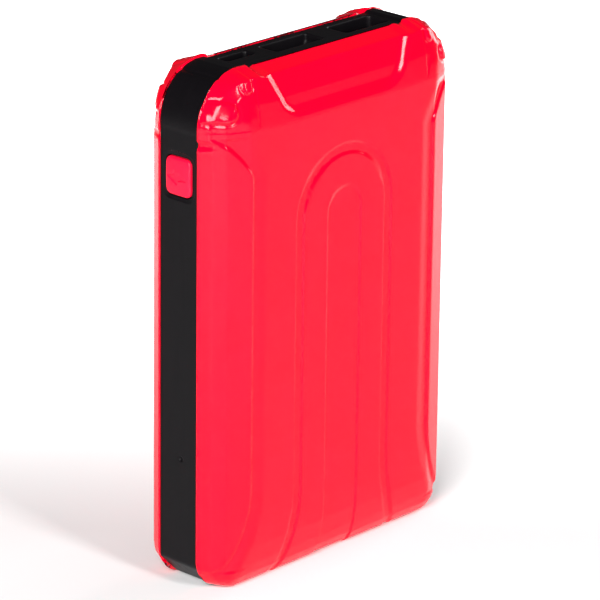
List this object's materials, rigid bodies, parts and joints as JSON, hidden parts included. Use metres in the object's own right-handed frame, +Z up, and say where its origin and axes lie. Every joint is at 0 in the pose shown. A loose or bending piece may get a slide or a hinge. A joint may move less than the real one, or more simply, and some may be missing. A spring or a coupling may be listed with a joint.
{
  "type": "jump starter pack",
  "caption": "Pocket jump starter pack: two ribbed gloss covers on a black band, side push button, and charging, output and jump-lead sockets on top.",
  "frame": {"origin": "centre of the foot that the pack stands on", "axes": "+Z up to the sockets, -Y out of the front cover, -X out of the button side"},
  "size_m": [0.0804, 0.0272, 0.1215],
  "materials": {
    "cover_red": "high-gloss moulded red",
    "band_black": "satin moulded black",
    "button_red": "smooth moulded red",
    "switch_black": "moulded black",
    "switch_white": "moulded off-white",
    "board_green": "green solder mask over glass laminate",
    "plated_steel": "tin-plated formed steel",
    "socket_black": "moulded black",
    "gold_contact": "gold-flashed spring contact",
    "ferrite": "pressed ferrite",
    "can_aluminium": "drawn aluminium can",
    "chip_black": "moulded black package",
    "screw_steel": "zinc-plated steel",
    "cell_pouch": "laminated foil pouch",
    "fish_paper": "insulating paper",
    "nickel": "nickel strip",
    "copper": "tinned copper strip",
    "foam": "closed-cell foam"
  },
  "bodies": {
    "case": {"front_cover": "cover_red", "rear_cover": "cover_red", "mid_frame": "band_black", "tact_switch": "switch_black", "main_board": "board_green", "usb_shell": "plated_steel", "usb_tongue": "socket_black", "usb_contacts": "gold_contact", "micro_shell": "plated_steel", "micro_tongue": "socket_black", "jump_housing": "socket_black", "jump_contacts": "gold_contact", "inductor": "ferrite", "capacitors": "can_aluminium", "power_transistors": "chip_black", "control_chip": "chip_black", "board_screws": "screw_steel", "frame_screws": "screw_steel", "cell_front": "cell_pouch", "cell_middle": "cell_pouch", "cell_rear": "cell_pouch", "tab_insulator": "fish_paper", "link_front": "nickel", "link_rear": "nickel", "positive_strap": "copper", "negative_strap": "copper", "sense_strips": "nickel", "foam_pad_front": "foam", "foam_pad_rear": "foam"},
    "button": {"power_button": "button_red", "switch_plunger": "switch_white"}
  },
  "joints": [
    {"name": "button_press", "type": "slide", "parent": "case", "child": "button", "axis": [1, 0, 0], "range_m": [0, 0.0005], "stiffness_N_per_m": 2000, "springref_m": -0.0003}
  ]
}
